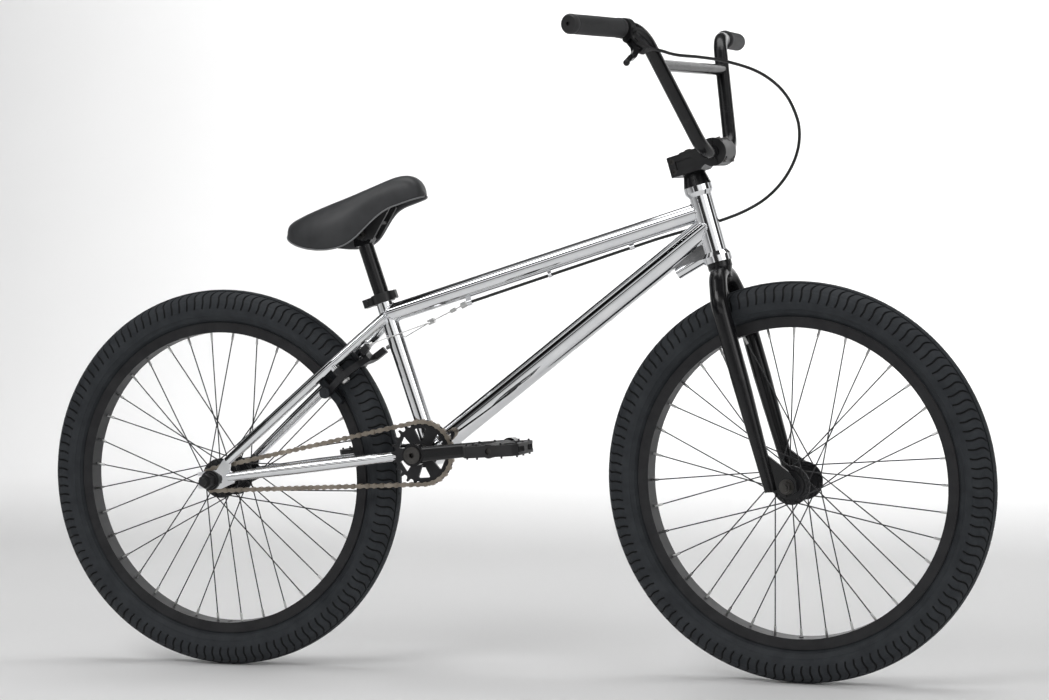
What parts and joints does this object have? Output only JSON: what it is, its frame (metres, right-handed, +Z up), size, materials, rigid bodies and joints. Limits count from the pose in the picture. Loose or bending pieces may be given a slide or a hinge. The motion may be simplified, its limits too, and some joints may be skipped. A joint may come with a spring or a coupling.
{
  "type": "bmx bike",
  "caption": "Small stunt bicycle with a bright metal frame, high crossbar handlebar, black fork, cranks and wheels, a padded seat, platform pedals, chain drive and a rear cable brake.",
  "frame": {"origin": "on the ground, in the middle plane, halfway between the ends of the two tyres", "axes": "+X forward, +Y to the rider's left, +Z up"},
  "size_m": [1.6047, 0.7441, 1.0414],
  "materials": {
    "chrome_frame": "bright chrome plate",
    "gloss_black": "gloss black",
    "satin_black": "satin black",
    "black_alloy": "black anodised",
    "silver_steel": "zinc plated",
    "dark_steel": "dark plated",
    "chain_steel": "brown",
    "tyre": "matte",
    "rubber": "matte",
    "tube_rubber": "matte",
    "black_plastic": "moulded",
    "seat_cover": "smooth",
    "cable_black": "smooth",
    "bearing_steel": "ground"
  },
  "bodies": {
    "frame": {"head_tube": "chrome_frame", "top_tube": "chrome_frame", "down_tube": "chrome_frame", "seat_tube": "chrome_frame", "bottom_bracket_shell": "chrome_frame", "chain_stays": "chrome_frame", "seat_stays": "chrome_frame", "rear_dropouts": "chrome_frame", "cable_guides": "chrome_frame", "headset_bearings": "bearing_steel", "bottom_bracket_bearings": "bearing_steel", "rear_axle_set": "satin_black", "seat_clamp": "satin_black", "brake_housing": "cable_black", "brake_wire": "silver_steel", "chain_outer_links": "chain_steel", "chain_inner_links": "chain_steel", "brake_pivots": "silver_steel"},
    "seatpost": {"seatpost": "gloss_black", "seat_bolt": "dark_steel"},
    "seat": {"seat_base": "black_plastic", "seat_pad": "seat_cover"},
    "crank": {"crank_spindle": "dark_steel", "crank_arm_right": "gloss_black", "crank_arm_left": "gloss_black", "crank_bolts": "dark_steel", "sprocket": "dark_steel", "pedal_axles": "dark_steel"},
    "right_pedal": {"pedal_right": "black_plastic"},
    "left_pedal": {"pedal_left": "black_plastic"},
    "driver": {"driver": "dark_steel"},
    "rear_wheel": {"rear_hub": "black_alloy", "rear_rim": "black_alloy", "rear_tyre": "tyre", "rear_spokes": "dark_steel", "rear_nipples": "silver_steel", "rear_inner_tube": "tube_rubber"},
    "front_wheel": {"front_hub": "black_alloy", "front_rim": "black_alloy", "front_tyre": "tyre", "front_spokes": "dark_steel", "front_nipples": "silver_steel", "front_inner_tube": "tube_rubber"},
    "steering": {"fork": "gloss_black", "front_axle_set": "dark_steel", "headset_cap": "gloss_black", "stem": "satin_black", "stem_faceplate": "satin_black", "stem_bolts": "silver_steel", "handlebar": "gloss_black", "grips": "rubber", "bar_end_plugs": "black_plastic", "brake_lever_bracket": "black_alloy"},
    "brake_lever": {"brake_lever_blade": "satin_black"},
    "right_brake_arm": {"brake_arm_right": "black_alloy", "brake_pad_right": "rubber"},
    "left_brake_arm": {"brake_arm_left": "black_alloy", "brake_pad_left": "rubber"},
    "straddle_hanger": {"cable_hanger": "silver_steel"}
  },
  "joints": [
    {"name": "steering_turn", "type": "hinge", "parent": "frame", "child": "steering", "pos_m": [0.3526, 0, 0.71969], "axis": [-0.2588, 0, 0.9659], "range_deg": [-60, 70], "deforming": ["brake_housing"]},
    {"name": "front_wheel_spin", "type": "hinge", "parent": "steering", "child": "front_wheel", "pos_m": [0.489, 0, 0.314], "axis": [0.0842, 0.9962, 0.0226], "continuous": true},
    {"name": "rear_wheel_spin", "type": "hinge", "parent": "frame", "child": "rear_wheel", "pos_m": [-0.489, 0, 0.314], "axis": [0, 1, 0], "continuous": true},
    {"name": "crank_spin", "type": "hinge", "parent": "frame", "child": "crank", "pos_m": [-0.118, 0, 0.3603], "axis": [0, 1, 0], "continuous": true, "deforming": ["chain_outer_links", "chain_inner_links"]},
    {"name": "driver_spin", "type": "hinge", "parent": "frame", "child": "driver", "pos_m": [-0.489, 0, 0.314], "axis": [0, 1, 0], "continuous": true},
    {"name": "right_pedal_spin", "type": "hinge", "parent": "crank", "child": "right_pedal", "pos_m": [0.04627, -0.1435, 0.37583], "axis": [0, 1, 0], "continuous": true},
    {"name": "left_pedal_spin", "type": "hinge", "parent": "crank", "child": "left_pedal", "pos_m": [-0.28227, 0.1435, 0.34477], "axis": [0, 1, 0], "continuous": true},
    {"name": "brake_lever_pull", "type": "hinge", "parent": "steering", "child": "brake_lever", "pos_m": [0.3062, -0.234, 0.98845], "axis": [-0.7396, 0.2113, -0.6391], "range_deg": [0, 20], "stiffness_Nm_per_rad": 0.6, "springref_deg": -20.05, "deforming": ["brake_wire"]},
    {"name": "right_arm_close", "type": "hinge", "parent": "frame", "child": "right_brake_arm", "pos_m": [-0.25881, -0.041, 0.48695], "axis": [0.6626, 0, -0.749], "range_deg": [-0.1, 3.3]},
    {"name": "left_arm_close", "type": "hinge", "parent": "frame", "child": "left_brake_arm", "pos_m": [-0.25881, 0.041, 0.48695], "axis": [-0.6626, 0, 0.749], "range_deg": [-0.1, 3.3]},
    {"name": "straddle_hanger_pull", "type": "slide", "parent": "frame", "child": "straddle_hanger", "axis": [0.9076, 0, 0.4199], "range_m": [-0.0001, 0.0046]},
    {"name": "seatpost_height", "type": "slide", "parent": "frame", "child": "seatpost", "axis": [-0.309, 0, 0.9511], "range_m": [-0.03, 0.06]},
    {"name": "seat_tilt", "type": "hinge", "parent": "seatpost", "child": "seat", "pos_m": [-0.2245, 0, 0.714], "axis": [0, 1, 0], "range_deg": [-4, 8]}
  ],
  "couplings": [
    {"joint": "driver_spin", "follows": "crank_spin", "ratio": 2.7778},
    {"joint": "right_arm_close", "follows": "brake_lever_pull", "ratio": 0.16},
    {"joint": "left_arm_close", "follows": "brake_lever_pull", "ratio": 0.16},
    {"joint": "straddle_hanger_pull", "follows": "brake_lever_pull", "m_per_rad": 0.012892}
  ]
}
